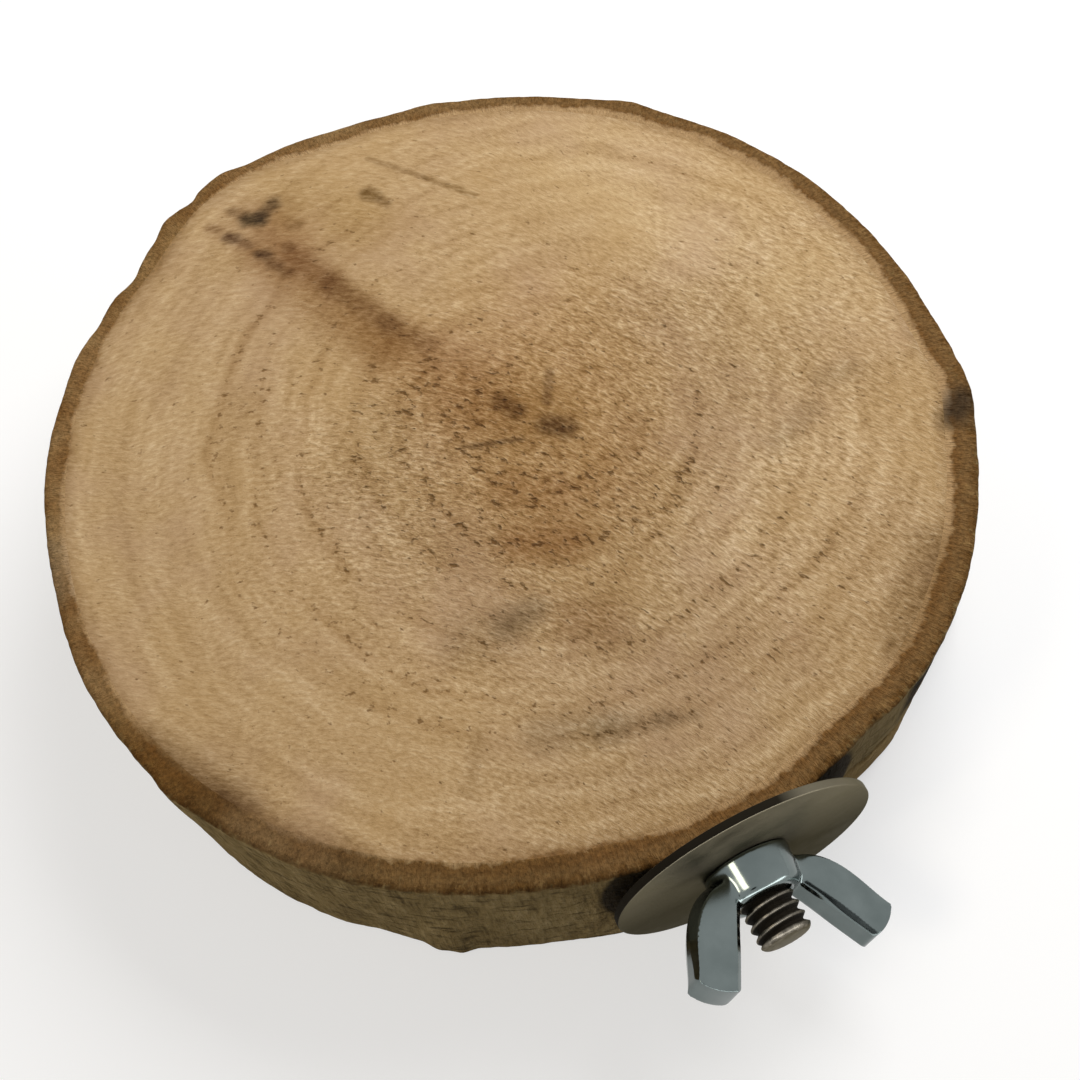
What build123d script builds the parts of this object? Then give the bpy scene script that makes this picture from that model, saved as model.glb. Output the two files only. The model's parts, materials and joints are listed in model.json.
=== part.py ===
from build123d import *
from math import cos, exp, radians, sin, sqrt, tan
import os

# A round log-slice perch for a cage. The stud's axis is the Y axis, the washer's
# inner face lies on y = 0, the stud points to -Y and the slice lies towards +Y.

# Log slice, sawn flat on both faces, with its bark left on
slice_radius = 58.2
slice_thickness = 24.7
top_above_stud = 8.4
stud_right_of_centre = 2.7
# Headings, in degrees, between the outline's stations and either side of one for its direction
outline_step = 12
heading_nudge = 0.5
# Lobes of the outline: count round the slice, height, heading of one crest in degrees
lobes = [(2, 0.85, 116), (3, 0.28, 323), (4, 0.36, 31)]
# Swellings over old branch stubs, and dents (heights below 0): height, heading, half width in degrees
swellings = [(2.3, 107, 11), (-0.9, 288, 6), (0.8, 340, 6)]
bark_depth = 3.1
bark_depth_sway = 0.6
bark_thick_heading = 312
bark_edge_chamfer = 0.7

# Quarter-inch hanger bolt: machine thread outside, wood screw inside
bolt_length = 50.8
stud_reach = 10.6
stud_radius = 3.175
stud_chamfer = 0.8
machine_thread_length = 22.2
neck_radius = 2.75
neck_length = 4.0
thread_runout = 0.6
screw_radius = 3.05
gimlet_length = 6.0
gimlet_tip_radius = 0.3

# Fender washer, blanked from sheet
washer_radius = 15.875
washer_hole_radius = 3.57
washer_thickness = 1.0
washer_edge_chamfer = 0.3

# Cold-forged wing nut
boss_radius = 5.3
boss_top_radius = 4.7
boss_height = 4.7
boss_base_chamfer = 0.4
boss_rim_chamfer = 0.5
bore_countersink = 0.35
wing_span = 26.8
wing_height = 13.1
wing_foot_height = 0.9
wing_shoulder_height = 10.3
wing_gap_at_root = 8.8
wing_gap_at_tip = 18.4
wing_root_height = 5.1
wing_edge_bow = 0.9
wing_tip_bow = 0.6
wing_corner_round = 0.9
wing_edge_round = 0.35
wing_root_thickness = 4.8
wing_tip_thickness = 3.6
nut_rest_turn = -24

# Clearances
seat_gap = 0.2
nut_gap = 0.05
thread_fit = 0.05
pilot_fit = 0.05
pilot_spare_depth = 1.0
drill_point_angle = 118
bark_hole_fit = 0.3


# Outline of the slice
def bark_radius_at(heading):
    radius = slice_radius
    for count, height, crest in lobes:
        radius += height * cos(radians(count * (heading - crest)))
    for height, middle, half_width in swellings:
        away = (heading - middle + 180) % 360 - 180
        radius += height * exp(-((away / half_width) ** 4))
    return radius


def bark_depth_at(heading):
    return bark_depth + bark_depth_sway * cos(radians(heading - bark_thick_heading))


def edge_point(heading, under_bark):
    radius = bark_radius_at(heading)
    if under_bark:
        radius -= bark_depth_at(heading)
    return Vector(radius * cos(radians(heading)), radius * sin(radians(heading)))


def edge_direction(heading, under_bark):
    ahead = edge_point(heading + heading_nudge, under_bark)
    behind = edge_point(heading - heading_nudge, under_bark)
    return (ahead - behind).normalized()


def tangent_arc_pair(start, start_way, end, end_way):
    """Two arcs that meet smoothly and leave and arrive along the given directions."""
    chord = end - start
    ways = start_way + end_way
    spread = 2 * (1 - start_way.dot(end_way))
    lean = chord.dot(ways)
    reach = (sqrt(lean**2 + spread * chord.dot(chord)) - lean) / spread
    first_corner = start + start_way * reach
    last_corner = end - end_way * reach
    middle = (first_corner + last_corner) / 2
    first = TangentArc(start, middle, tangent=start_way)
    return [first, TangentArc(middle, end, tangent=last_corner - first_corner)]


def slice_face(under_bark):
    arcs = []
    for heading in range(0, 360, outline_step):
        ahead = heading + outline_step
        arcs += tangent_arc_pair(
            edge_point(heading, under_bark), edge_direction(heading, under_bark),
            edge_point(ahead, under_bark), edge_direction(ahead, under_bark),
        )
    return make_face(arcs)


def turned(points):
    """A solid turned about the stud's axis, from (radius, y) points."""
    return revolve(make_face(Polyline(*points, close=True)), Axis.Y)


# Heights along the bolt, from its outer end to its point
stud_end_y = -stud_reach
thread_end_y = stud_end_y + machine_thread_length
neck_end_y = thread_end_y + neck_length
point_y = stud_end_y + bolt_length
gimlet_y = point_y - gimlet_length

bark_outline = slice_face(under_bark=False)
wood_outline = slice_face(under_bark=True)
centre_y = seat_gap - bark_outline.bounding_box().min.Y
slice_place = Location((-stud_right_of_centre, centre_y, top_above_stud - slice_thickness))


def make_wood_slice():
    slab = slice_place * extrude(wood_outline, slice_thickness, dir=(0, 0, 1))
    entry = stud_radius + pilot_fit
    pilot = screw_radius + pilot_fit
    floor_y = point_y + pilot_spare_depth
    drill_point = pilot / tan(radians(drill_point_angle / 2))
    hole = turned([
        (0, stud_end_y),
        (entry, stud_end_y),
        (entry, neck_end_y),
        (pilot, neck_end_y),
        (pilot, floor_y),
        (0, floor_y + drill_point),
    ])
    return slab - hole


def make_bark_ring():
    ring_face = bark_outline - wood_outline
    ring = slice_place * extrude(ring_face, slice_thickness, dir=(0, 0, 1))
    sawn_faces = ring.faces().sort_by(Axis.Z)
    outer_rims = sawn_faces[0].outer_wire().edges() + sawn_faces[-1].outer_wire().edges()
    ring = chamfer(outer_rims, bark_edge_chamfer)
    hole_radius = stud_radius + bark_hole_fit
    hole = turned([(0, stud_end_y), (hole_radius, stud_end_y), (hole_radius, centre_y), (0, centre_y)])
    return ring - hole


def make_hanger_bolt():
    return turned([
        (0, stud_end_y),
        (stud_radius - stud_chamfer, stud_end_y),
        (stud_radius, stud_end_y + stud_chamfer),
        (stud_radius, thread_end_y - thread_runout),
        (neck_radius, thread_end_y),
        (neck_radius, neck_end_y),
        (screw_radius, neck_end_y + thread_runout),
        (screw_radius, gimlet_y),
        (gimlet_tip_radius, point_y),
        (0, point_y),
    ])


def make_fender_washer():
    washer = turned([
        (washer_hole_radius, 0),
        (washer_radius, 0),
        (washer_radius, -washer_thickness),
        (washer_hole_radius, -washer_thickness),
    ])
    outer_rim = washer.edges().group_by(Axis.Y)[0].sort_by(SortBy.LENGTH)[-1]
    return chamfer(outer_rim, washer_edge_chamfer)


def bowed_edge(start, end, bow):
    """An arc from start to end that bulges to the right of the way it goes."""
    start, end = Vector(*start), Vector(*end)
    along = (end - start).normalized()
    middle = (start + end) / 2 + Vector(along.Y, -along.X) * bow
    return ThreePointArc(start, middle, end)


def make_wing():
    """One wing, standing out along +X from a boss that sits on z = 0."""
    root_x = wing_gap_at_root / 2
    tip_x = wing_span / 2
    foot = (root_x, wing_foot_height)
    shoulder = (tip_x, wing_shoulder_height)
    crown = (wing_gap_at_tip / 2, wing_height)
    root = (root_x, wing_root_height)
    side = make_face([
        bowed_edge(foot, shoulder, wing_edge_bow),
        bowed_edge(shoulder, crown, wing_tip_bow),
        Line(crown, root),
        Line(root, foot),
    ])
    tip_corners = [v for v in side.vertices() if v.X > root_x + wing_corner_round]
    side = fillet(tip_corners, wing_corner_round)
    slab = extrude(Plane.XZ * side, wing_root_thickness / 2, both=True)
    plan = make_face(Polyline(
        (root_x, -wing_root_thickness / 2),
        (tip_x, -wing_tip_thickness / 2),
        (tip_x, wing_tip_thickness / 2),
        (root_x, wing_root_thickness / 2),
        close=True,
    ))
    wing = slab & extrude(plan, wing_height, dir=(0, 0, 1))
    rims = wing.edges().filter_by(Axis.Y, reverse=True)
    free_rims = [edge for edge in rims if edge.center().X > boss_top_radius]
    return fillet(free_rims, wing_edge_round)


def make_wing_nut():
    boss = revolve(make_face(Plane.XZ * Polyline(
        (0, 0),
        (boss_radius - boss_base_chamfer, 0),
        (boss_radius, boss_base_chamfer),
        (boss_top_radius, boss_height),
        (0, boss_height),
        close=True,
    )), Axis.Z)
    boss = chamfer(boss.edges().group_by(Axis.Z)[-1], boss_rim_chamfer)
    wing = make_wing()
    bore_radius = stud_radius + thread_fit
    bore = revolve(make_face(Plane.XZ * Polyline(
        (0, 0),
        (bore_radius + bore_countersink, 0),
        (bore_radius, bore_countersink),
        (bore_radius, boss_height - bore_countersink),
        (bore_radius + bore_countersink, boss_height),
        (0, boss_height),
        close=True,
    )), Axis.Z)
    nut = boss + wing + mirror(wing, Plane.YZ) - bore
    turn = radians(nut_rest_turn)
    seat = Plane(
        origin=(0, -washer_thickness - nut_gap, 0),
        x_dir=(cos(turn), 0, sin(turn)),
        z_dir=(0, -1, 0),
    )
    return seat.location * nut


pieces = {
    "wood_slice": make_wood_slice(),
    "bark_ring": make_bark_ring(),
    "hanger_bolt": make_hanger_bolt(),
    "fender_washer": make_fender_washer(),
    "wing_nut": make_wing_nut(),
}

os.makedirs("parts", exist_ok=True)
for name, piece in pieces.items():
    export_step(piece, f"parts/{name}.step")
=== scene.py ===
import json
import math

import bmesh
import bpy
from mathutils import Matrix, Vector, noise
from mathutils.bvhtree import BVHTree


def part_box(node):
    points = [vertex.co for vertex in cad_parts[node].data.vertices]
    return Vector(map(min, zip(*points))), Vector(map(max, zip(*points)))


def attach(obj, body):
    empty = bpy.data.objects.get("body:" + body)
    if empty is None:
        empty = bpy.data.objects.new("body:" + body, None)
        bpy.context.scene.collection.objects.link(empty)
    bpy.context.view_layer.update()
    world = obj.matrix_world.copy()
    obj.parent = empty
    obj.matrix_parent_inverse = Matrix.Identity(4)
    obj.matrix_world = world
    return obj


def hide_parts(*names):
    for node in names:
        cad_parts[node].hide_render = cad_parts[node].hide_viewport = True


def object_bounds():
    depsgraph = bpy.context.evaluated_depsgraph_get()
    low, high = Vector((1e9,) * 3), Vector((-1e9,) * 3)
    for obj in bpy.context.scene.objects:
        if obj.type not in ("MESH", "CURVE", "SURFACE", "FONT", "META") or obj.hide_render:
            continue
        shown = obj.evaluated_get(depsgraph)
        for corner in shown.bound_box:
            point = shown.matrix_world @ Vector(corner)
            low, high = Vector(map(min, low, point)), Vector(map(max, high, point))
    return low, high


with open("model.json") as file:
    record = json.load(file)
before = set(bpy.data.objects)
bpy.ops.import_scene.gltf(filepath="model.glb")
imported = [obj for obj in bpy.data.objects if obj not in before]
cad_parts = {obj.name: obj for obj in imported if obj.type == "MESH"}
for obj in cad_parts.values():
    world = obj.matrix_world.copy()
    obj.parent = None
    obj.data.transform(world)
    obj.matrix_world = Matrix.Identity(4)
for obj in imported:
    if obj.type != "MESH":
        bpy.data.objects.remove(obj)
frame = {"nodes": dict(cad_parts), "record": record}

cad_low, cad_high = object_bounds()

# Bird perch: a slice of log with its bark on, a hanger bolt in its edge, a fender washer and a wing nut.
# Named lengths are in millimetres, and mm turns them into the frame's metres.
mm = 0.001

# Places that the frame gives.
mounts = {mount["name"]: mount for mount in frame["record"]["mounts"]}
slice_centre = Vector(mounts["perch_top"]["pos_m"])
top_height = slice_centre.z
floor_height = Vector(mounts["underside"]["pos_m"]).z
slice_thickness = top_height - floor_height
stud_radius = mounts["cage_wall"]["dims"]["r_mm"]
bolt_low, bolt_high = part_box("hanger_bolt")
washer_low, washer_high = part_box("fender_washer")
washer_reach = (washer_high.x - washer_low.x) / 2 / mm
nut_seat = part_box("wing_nut")[1].y / mm

# The camera's place, found from the photograph's outlines, on a 36 mm wide sensor.
view_target = (-2.76, 47.1, 0.0)
view_distance = 189.94
view_elevation = 61.04
view_azimuth = -14.96
view_roll = -11.77
lens_length = 49.98

# Light, in metres and watts: a soft box above and behind to the right, a small warm one at the left, and
# a strip in front that only metal mirrors. Each has its name, place, size, power and colour, and says
# whether metal mirrors it and whether it lights the rest.
ambient_light = 0.25
lamps = [
    ("overhead_soft_box", (0.30, 0.24, 0.31), (0.36, 0.36), 2.6, "#ffffff", False, True),
    ("left_soft_box", (-0.5, 0.0, 0.6), (0.2, 0.2), 1.2, "#fff0d6", True, True),
    ("front_strip", (0.05, -0.5, 0.06), (1.2, 0.14), 2.8, "#ffffff", True, False),
]
card_place = (-0.18, -0.26, 0.39)
card_size = 0.14
floor_size = 4.0
floor_lift = 0.56

# Log slice: the heart lies off the middle. Headings, in degrees, say which way the saw ran at the right
# and at the left, where it tore the rings, where it left the face rough, and where the sawn bark is clean.
heart_place = (4.6, 58.0)
saw_heading = -60.0
saw_heading_left = -32.0
torn_heading = -150.0
rough_heading = -45.0
clean_heading = 150.0
wood_grid_step = 0.45
raised_grain = 0.10
raised_wave = 0.06
log_radius = 58.0
ring_reach = 66.0

# Bark: a sheet of even steps wrapped round the slice.
bark_steps_round = 840
bark_rows_on_band = 9
bark_rows_on_wall = 56
bark_rows_inside = 3
bark_rim_round = 0.9
bark_rim_drop = 0.2
bark_hole_fit = 0.3
bark_drill_reach = 20.0
bark_merge_distance = 0.01
washer_clearance = 0.05

# Places where the outline rises above or falls below its smooth curve, at the top and at the foot:
# heading in degrees, rise in millimetres, half width in degrees.
rim_marks = [
    (46.5, 0.65, 4), (75, 0.3, 3), (92.5, 0.5, 4), (100.5, -0.4, 2.5), (105.5, 0.5, 2), (111, -0.6, 1.5),
    (115.5, 0.75, 2), (125, -0.8, 2.5), (133, -0.4, 2.2), (139, 0.3, 3), (151, 0.4, 9), (174, -0.3, 5),
    (206, 0.45, 3), (291, -0.3, 3), (297, -0.2, 2),
]
foot_marks = [
    (200, -0.3, 4), (228, -0.45, 3), (235.6, 0.7, 1.5), (238.4, 0.75, 1.6), (251, -0.35, 6),
    (303.3, -0.5, 1.0), (310.2, -0.35, 0.8), (321, 0.9, 3),
]

# How far bark's colour reaches into the wood beyond the solid's border, in millimetres: everywhere, and
# where it reaches further or less far: heading in degrees, reach, half width in degrees.
border_reach = -0.8
border_marks = [(30, -0.7, 65), (122, 0.9, 20), (252, 0.55, 14)]

# Bark broken away to the right of the washer: the wall leans in towards its foot, a skin is left standing
# low down, a dark split runs above it, and a hollow lies under the lip; the split, the broken step and the
# hollow are painted near-black, as painted shade. Headings in degrees, heights as a share of the thickness;
# four values are where a mark rises, from and to, and where it falls again.
lean_headings = (281.0, 291.0, 305.0, 318.0)
lean_at_foot = 1.6
skin_start = (284.0, 287.0)
skin_end = 303.5
split_height = 0.42
split_half_height = 0.022
split_depth = 0.9
broken_end = (311.0, 316.0)
broken_top = (0.45, 0.6)
broken_step = 0.6
hollow_headings = (296.0, 299.0, 307.0, 310.0)
hollow_heights = (0.5, 0.7, 0.93, 0.98)

# Stains on the sawn top, as soft strokes: start, end, half width, colour and strength. A stroke's colour is
# what it makes of the ground's.
ground_shade = "#b5966a"
stains = [
    # Heart: a red-brown patch with darker places round it.
    ((2.0, 52.0), (6.0, 62.0), 17.0, "#a97f49", 0.5),
    ((-6.5, 74.0), (-3.0, 66.5), 7.0, "#a07342", 0.25),
    ((-6.0, 65.0), (-1.0, 62.0), 5.5, "#9a6d3c", 0.15),
    ((-6.5, 43.5), (-1.0, 41.0), 3.2, "#8a5f32", 0.55),
    ((-4.5, 51.0), (0.0, 47.2), 3.4, "#8a5f32", 0.3),
    ((4.0, 46.0), (12.0, 49.5), 4.2, "#8a5f32", 0.15),
    # Painted light: paler strokes at the right, as if the right of the top were lit more strongly.
    ((17.0, 30.0), (30.0, 34.0), 11.0, "#c9aa7d", 0.6),
    ((26.0, 92.0), (44.0, 62.0), 10.0, "#c7aa7d", 0.5),
    # Dark pith, and the small check that runs out of it.
    ((-1.0, 61.5), (4.5, 58.0), 5.2, "#86622f", 0.45),
    ((4.0, 57.1), (5.7, 55.5), 1.7, "#5b3f20", 0.8),
    ((0.2, 63.3), (1.2, 61.0), 1.5, "#64451d", 0.75),
    ((7.5, 64.2), (5.4, 60.3), 0.8, "#6a4b29", 0.6),
    ((-6.8, 59.2), (0.1, 56.8), 0.5, "#5a4022", 0.6),
    # Streak from the heart out to the knots: a dark core in a wide halo.
    ((-18.0, 101.0), (-9.5, 79.0), 4.6, "#8f6b40", 0.75),
    ((-9.5, 80.0), (-3.5, 70.0), 4.6, "#916d3e", 0.4),
    ((-15.0, 99.0), (-12.2, 92.0), 2.4, "#80592f", 0.6),
    ((-12.2, 92.0), (-7.6, 81.6), 2.0, "#7a5730", 0.6),
    ((-7.6, 81.6), (-4.6, 76.0), 1.8, "#7a5730", 0.45),
    # Knots and pin marks at its outer end, on browner wood.
    ((-12.5, 106.5), (-5.0, 98.5), 6.5, "#a48350", 0.6),
    ((-16.0, 105.0), (-14.0, 100.5), 3.4, "#a07a50", 0.5),
    ((-19.0, 109.4), (-14.0, 107.2), 3.2, "#947246", 0.45),
    ((-18.4, 108.1), (-16.9, 107.2), 1.4, "#3e3019", 0.9),
    ((-16.6, 107.7), (-14.0, 109.1), 1.3, "#5e4930", 0.75),
    ((-19.8, 110.5), (-18.6, 109.3), 1.0, "#6f5230", 0.65),
    ((-23.3, 109.0), (-16.8, 96.6), 1.7, "#9c7850", 0.3),
    ((-23.6, 109.3), (-22.8, 108.5), 0.9, "#7a5a34", 0.65),
    ((-21.9, 106.5), (-21.2, 105.8), 1.1, "#553a22", 0.85),
    ((-20.5, 104.5), (-20.0, 104.0), 1.0, "#68482a", 0.6),
    ((-19.0, 101.3), (-18.2, 100.8), 1.1, "#4a3119", 0.8),
    ((-18.1, 98.9), (-17.6, 98.4), 1.1, "#6a4c2a", 0.7),
    ((-17.2, 97.0), (-16.6, 96.4), 1.0, "#75552e", 0.65),
    ((-13.3, 103.8), (-12.7, 103.4), 1.0, "#7d5c33", 0.6),
    ((-12.1, 104.1), (-11.6, 103.8), 0.8, "#8a683c", 0.5),
    ((-15.3, 100.7), (-14.7, 100.3), 0.9, "#7d5c33", 0.55),
    ((-1.9, 103.9), (-1.1, 103.0), 1.2, "#66491f", 0.85),
    ((-0.6, 101.7), (-0.1, 101.0), 0.9, "#6d4f28", 0.75),
    ((0.7, 109.9), (6.4, 102.4), 0.45, "#866840", 0.65),
    ((6.4, 102.4), (11.2, 96.0), 0.55, "#82643a", 0.7),
    # Grey and brown handling smudges.
    ((-17.5, 34.6), (-12.5, 34.0), 3.6, "#91754f", 0.55),
    ((-12.2, 34.2), (-8.6, 34.6), 2.2, "#7a6443", 0.55),
    ((-4.8, 31.3), (-1.8, 29.6), 3.4, "#8b673d", 0.65),
    ((-14.5, 20.0), (-7.0, 17.2), 2.6, "#8b7350", 0.45),
    ((-8.0, 17.4), (-1.5, 15.4), 1.8, "#866e4c", 0.4),
    ((-2.0, 15.5), (2.0, 14.2), 1.0, "#7d6648", 0.35),
    ((27.8, 41.1), (33.2, 43.3), 2.1, "#8f744d", 0.45),
    ((37.4, 46.4), (40.8, 46.2), 2.0, "#93784f", 0.45),
    ((-24.3, 17.8), (-20.9, 22.7), 1.2, "#94764c", 0.35),
    # Painted shade: a wide soft greying along the near edge, as if the near side of the top were less lit.
    ((-8.0, 14.0), (30.0, 22.0), 15.0, "#ab8d64", 0.55),
]

# Dirty edges of the wood, at the right and at the lower left.
edge_stains = [
    ((47.6, 33.8), (51.0, 35.8), 2.2, "#5a472c", 0.7),
    ((36.0, 20.3), (26.6, 11.5), 3.0, "#7f6138", 0.55),
    ((-57.5, 38.0), (-51.0, 28.5), 5.0, "#5b3d18", 0.8),
    ((-51.0, 28.5), (-40.0, 15.0), 3.4, "#745530", 0.6),
]

# Dirt on the bark's sawn rim, given the same way.
rim_shade = "#6b4e29"
rim_dirt = [
    ((-60.0, 44.0), (-52.0, 30.0), 3.5, "#533714", 0.8),
    ((-52.0, 30.0), (-40.0, 16.0), 3.0, "#573f22", 0.6),
    ((48.8, 34.4), (50.4, 35.6), 2.4, "#33281a", 0.85),
    ((-40.0, 106.0), (-22.0, 114.0), 4.0, "#5d401d", 0.6),
    ((-40.0, 16.0), (-20.0, 5.0), 3.2, "#57401f", 0.5),
    ((-20.0, 5.0), (-8.0, 2.0), 3.2, "#5a4224", 0.15),
    ((-59.0, 70.0), (-59.5, 64.0), 2.4, "#6b5536", 0.5),
]

# Hanger bolt: 20 threads to the inch outside, a coarse wood thread inside.
inch = 25.4
machine_pitch = inch / 20
machine_thread_depth = 0.42 * machine_pitch
machine_thread_length = 22.2
neck_length = 4.0
neck_radius = 2.75
wood_pitch = 2.5
wood_thread_depth = 0.95
wood_crest_radius = 3.05
gimlet_length = 6.0
gimlet_tip_radius = 0.3
stud_end_round = 0.8
machine_runout = 0.9
wood_runout = 0.1
neck_overlap = 0.5
pilot_fit = 0.05
thread_steps = 48
profile_steps = 20
thread_crest_share = 0.1
thread_flank_share = 0.75
merge_distance = 0.001

# Fender washer.
washer_hole_radius = 3.57
washer_steps = 160
ring_corner_steps = 6
washer_front_round = 0.22
washer_back_round = 0.12
washer_rim_margin = 0.05
# Where the painted shade on the washer's cut rim fades out, from left to right.
washer_rim_shade_fade = (-4.0, 9.0)

# Wing nut: a round boss, and wings whose corners are given as (out from the axis, up from the seat). A
# slope is how far the die draws a wing's rim in, at the start and at the end of an edge, and the draft is
# how much thickness the outer slope takes for each millimetre of that.
boss_radius = 5.3
boss_top_radius = 4.75
boss_height = 4.7
boss_rim_round = 1.0
boss_seat_round = 0.35
boss_bore_radius = 3.3
bore_rim_round = 0.3
bore_seat_round = 0.2
boss_steps = 96
wing_foot = (4.1, 0.9)
wing_shoulder = (13.4, 10.3)
wing_crown = (9.2, 13.1)
wing_root = (4.1, 4.6)
wing_edge_bow = 2.2
wing_tip_bow = 0.55
wing_shoulder_round = 0.6
wing_crown_round = 0.5
wing_root_thickness = 4.8
wing_tip_thickness = 3.6
wing_corner_steps = 8
wing_edge_cuts = 18
wing_outer_slope = (0.9, 0.25)
wing_outer_draft = 3.0
wing_inner_slope = (0.6, 0.9)
nut_rest_turn = 24.0
nut_grain = 0.107
nut_easing = 3
fillet_easing = 120
fillet_reach = 5.5
fillet_width = 1.0
fillet_off_axis = (2.8, 4.2)
fillet_off_seat = (0.3, 1.2)


def deselect_all():
    if bpy.context.object and bpy.context.object.mode == "EDIT":
        bpy.ops.object.mode_set(mode="OBJECT")
    bpy.ops.object.select_all(action="DESELECT")


def make_only_active(piece):
    deselect_all()
    piece.select_set(True)
    bpy.context.view_layer.objects.active = piece


def apply_modifiers(piece):
    make_only_active(piece)
    for modifier in list(piece.modifiers):
        bpy.ops.object.modifier_apply(modifier=modifier.name)


def name_piece(piece, name):
    piece.name = name
    piece.data.name = name
    return piece


def round_corner(piece, corner, corner_round, steps):
    """Rounds one corner of a flat outline that is in edit mode."""
    bpy.ops.mesh.select_all(action="DESELECT")
    mesh = bmesh.from_edit_mesh(piece.data)
    for vertex in mesh.verts:
        vertex.select = (vertex.co - corner).length < 0.01 * mm
    mesh.select_flush_mode()
    bpy.ops.mesh.bevel(offset=corner_round * mm, segments=steps, affect="VERTICES")


def close_mesh(merge=None):
    """Merges doubles where a distance is given, turns all faces outwards and leaves edit mode."""
    bpy.ops.mesh.select_all(action="SELECT")
    if merge:
        bpy.ops.mesh.remove_doubles(threshold=merge * mm)
    bpy.ops.mesh.normals_make_consistent(inside=False)
    bpy.ops.object.mode_set(mode="OBJECT")


def soften(piece, name, passes, group=""):
    softening = piece.modifiers.new(name, "SMOOTH")
    softening.factor = 0.5
    softening.iterations = passes
    softening.vertex_group = group
    apply_modifiers(piece)


def seat(piece, body, node, material):
    """Gives a finished piece its material, hangs it on its CAD body and hides the CAD node that it stands
    in for.
    """
    piece.data.materials.clear()
    piece.data.materials.append(material)
    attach(piece, body)
    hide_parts(node)


def unit(heading):
    angle = math.radians(heading)
    return Vector((math.cos(angle), math.sin(angle), 0.0))


def bell(value, middle, half_width):
    """A smooth bump of height 1 over a heading in degrees."""
    away = (value - middle + 180.0) % 360.0 - 180.0
    return math.exp(-((away / half_width) ** 2))


def ease(value, low, high):
    """0 below low, 1 above high, and a smooth step between."""
    share = min(1.0, max(0.0, (value - low) / (high - low)))
    return share * share * (3.0 - 2.0 * share)


def between(value, rise_from, rise_to, fall_from, fall_to):
    """1 between two edges, with a smooth step at each."""
    return ease(value, rise_from, rise_to) * (1.0 - ease(value, fall_from, fall_to))


def wall_radii(node):
    """Radius of a CAD node's outer wall about the slice's middle at every whole degree, in metres."""
    mesh = frame["nodes"][node].data
    tree = BVHTree.FromPolygons([v.co for v in mesh.vertices], [p.vertices for p in mesh.polygons])
    middle = Vector((slice_centre.x, slice_centre.y, floor_height + slice_thickness * 0.2))
    outside = (cad_high - cad_low).length
    radii = []
    for heading in range(360):
        hit = tree.ray_cast(middle + unit(heading) * outside, -unit(heading))[0]
        radii.append((hit - middle).length)
    return radii


def radius_at(radii, heading):
    """The wall's radius at any heading, between the whole degrees."""
    low = math.floor(heading)
    share = heading - low
    return radii[low % 360] * (1.0 - share) + radii[(low + 1) % 360] * share


def heading_of(place):
    return math.degrees(math.atan2(place.y - slice_centre.y, place.x - slice_centre.x)) % 360.0


def inside_wall(radii, place):
    """How far a place lies inside a wall, in metres."""
    return radius_at(radii, heading_of(place)) - (place - slice_centre).xy.length


def inside_border(place):
    """How far a place lies inside the border of bark's colour, in millimetres."""
    heading = heading_of(place)
    border = border_reach
    for middle, reach, half_width in border_marks:
        border += reach * bell(heading, middle, half_width)
    return inside_wall(wood_wall, place) / mm - border


def drill(piece, radius, start, end):
    """Bores a round hole along Y through a piece, between two places on the stud's axis, in metres."""
    deselect_all()
    bpy.ops.mesh.primitive_cylinder_add(
        vertices=thread_steps, radius=radius, depth=end - start, location=(0.0, (start + end) / 2, 0.0),
        rotation=(math.pi / 2, 0.0, 0.0))
    bit = bpy.context.object
    cut = piece.modifiers.new("bore", "BOOLEAN")
    cut.operation = "DIFFERENCE"
    cut.solver = "EXACT"
    cut.object = bit
    apply_modifiers(piece)
    bpy.data.objects.remove(bit)


def store_per_vertex(piece, name, values):
    attribute = piece.data.attributes.new(name, "FLOAT", "POINT")
    attribute.data.foreach_set("value", values)


wood_wall = wall_radii("wood_slice")
bark_wall = wall_radii("bark_ring")


def make_wood_slice():
    """The sawn slice: a fine grid trimmed to the log's outline and pulled down to its underside."""
    span = 2.0 * max(wood_wall) + 4.0 * wood_grid_step * mm
    cells = round(span / (wood_grid_step * mm))
    deselect_all()
    bpy.ops.mesh.primitive_grid_add(
        x_subdivisions=cells, y_subdivisions=cells, size=span,
        location=(slice_centre.x, slice_centre.y, top_height))
    wood = name_piece(bpy.context.object, "sawn_wood_slice")
    bpy.ops.object.transform_apply(location=True)

    bpy.ops.object.mode_set(mode="EDIT")
    bpy.ops.mesh.select_all(action="DESELECT")
    mesh = bmesh.from_edit_mesh(wood.data)
    half_step = wood_grid_step * mm / 2
    for vertex in mesh.verts:
        vertex.select = inside_wall(wood_wall, vertex.co) < half_step
    mesh.select_flush_mode()
    bpy.ops.mesh.delete(type="VERT")

    mesh = bmesh.from_edit_mesh(wood.data)
    rim = [edge for edge in mesh.edges if edge.is_boundary]
    for vertex in {vertex for edge in rim for vertex in edge.verts}:
        heading = heading_of(vertex.co)
        vertex.co = slice_centre + unit(heading) * radius_at(wood_wall, heading)
    for edge in rim:
        edge.select = True
    bpy.ops.mesh.extrude_region_move(TRANSFORM_OT_translate={"value": (0.0, 0.0, -slice_thickness)})
    bpy.ops.mesh.edge_face_add()
    close_mesh()

    for vertex in wood.data.vertices:
        if vertex.co.z > top_height - half_step and inside_wall(wood_wall, vertex.co) > half_step:
            vertex.co.z -= saw_relief(vertex.co / mm) * mm
    drill(wood, (wood_crest_radius + pilot_fit) * mm, 0.0, bolt_high.y + mm)
    store_per_vertex(wood, "rim", [inside_border(vertex.co) for vertex in wood.data.vertices])
    make_only_active(wood)
    bpy.ops.object.shade_smooth_by_angle(angle=math.radians(40))
    return wood


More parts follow.
